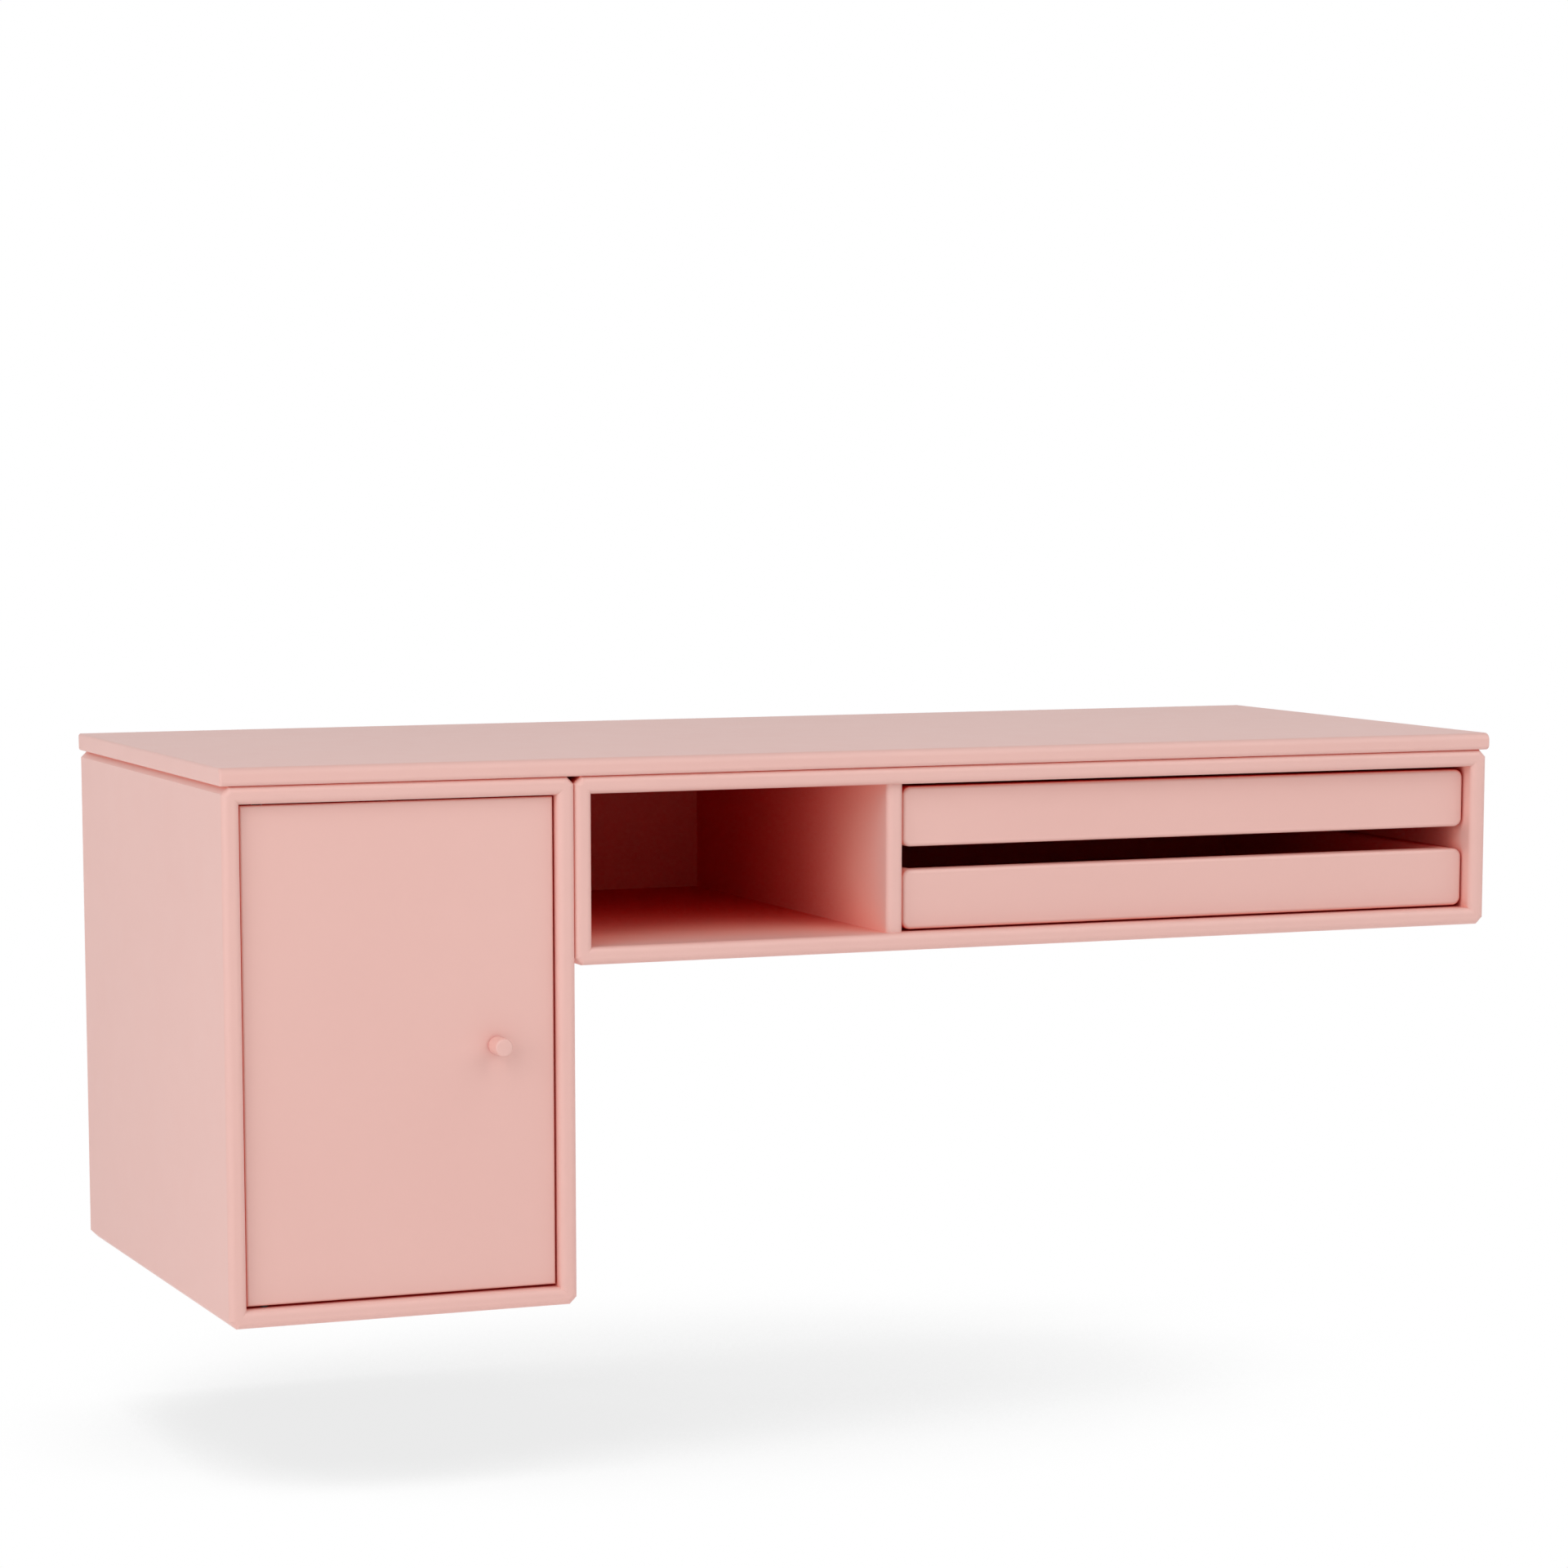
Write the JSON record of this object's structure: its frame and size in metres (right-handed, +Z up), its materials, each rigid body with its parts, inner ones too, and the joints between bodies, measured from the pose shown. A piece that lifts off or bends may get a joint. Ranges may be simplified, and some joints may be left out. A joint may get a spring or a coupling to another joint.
{
  "type": "floating wall desk",
  "caption": "Wall-hung writing desk: a tall cabinet with an inset door beside a shallow box with an open compartment and pull-out trays, under one rounded worktop.",
  "frame": {"origin": "on the wall plane, midway along the desk, on the screw line of the desk's wall rail", "axes": "+Z up, +Y into the wall so the front faces -Y, +X to the right seen from the front"},
  "size_m": [0.939, 0.39, 0.366],
  "materials": {
    "pink_lacquer": "satin lacquer on fibreboard",
    "bare_wood": "bare beech",
    "zinc_steel": "zinc plated",
    "dark_steel": "burnished",
    "rail_aluminium": "mill finish extrusion",
    "nylon": "moulded, tinted to the lacquer",
    "magnet": "sintered ferrite"
  },
  "bodies": {
    "carcass": {"cabinet_back": "pink_lacquer", "cabinet_bottom": "pink_lacquer", "cabinet_hanging_rail": "rail_aluminium", "cabinet_left_side": "pink_lacquer", "cabinet_mitre_splines": "bare_wood", "cabinet_right_side": "pink_lacquer", "cabinet_top": "pink_lacquer", "cabinet_wall_rail": "rail_aluminium", "catch_body": "nylon", "catch_magnet": "magnet", "catch_screws": "zinc_steel", "connector_bolts": "zinc_steel", "connector_sleeves": "zinc_steel", "desk_back": "pink_lacquer", "desk_bottom": "pink_lacquer", "desk_divider": "pink_lacquer", "desk_hanging_rail": "rail_aluminium", "desk_left_side": "pink_lacquer", "desk_mitre_splines": "bare_wood", "desk_right_side": "pink_lacquer", "desk_top": "pink_lacquer", "desk_wall_rail": "rail_aluminium", "divider_dowels": "bare_wood", "hanging_rail_screws": "zinc_steel", "lower_left_runner": "nylon", "lower_pivot_pin": "dark_steel", "lower_right_runner": "nylon", "upper_left_runner": "nylon", "upper_pivot_pin": "dark_steel", "upper_right_runner": "nylon", "worktop": "pink_lacquer", "worktop_screws": "zinc_steel"},
    "door": {"door_panel": "pink_lacquer", "door_knob": "pink_lacquer", "knob_screw": "zinc_steel", "upper_pivot_bush": "nylon", "lower_pivot_bush": "nylon", "strike_disc": "zinc_steel"},
    "upper_tray": {"upper_tray_back": "pink_lacquer", "upper_tray_base": "pink_lacquer", "upper_tray_front": "pink_lacquer", "upper_tray_left_side": "pink_lacquer", "upper_tray_right_side": "pink_lacquer"},
    "lower_tray": {"lower_tray_back": "pink_lacquer", "lower_tray_base": "pink_lacquer", "lower_tray_front": "pink_lacquer", "lower_tray_left_side": "pink_lacquer", "lower_tray_right_side": "pink_lacquer"}
  },
  "joints": [
    {"name": "door_hinge", "type": "hinge", "parent": "carcass", "child": "door", "pos_m": [-0.4416, -0.367, 0], "axis": [0, 0, -1], "range_deg": [0, 105]},
    {"name": "upper_tray_slide", "type": "slide", "parent": "carcass", "child": "upper_tray", "axis": [0, -1, 0], "range_m": [0, 0.25]},
    {"name": "lower_tray_slide", "type": "slide", "parent": "carcass", "child": "lower_tray", "axis": [0, -1, 0], "range_m": [0, 0.25]}
  ]
}
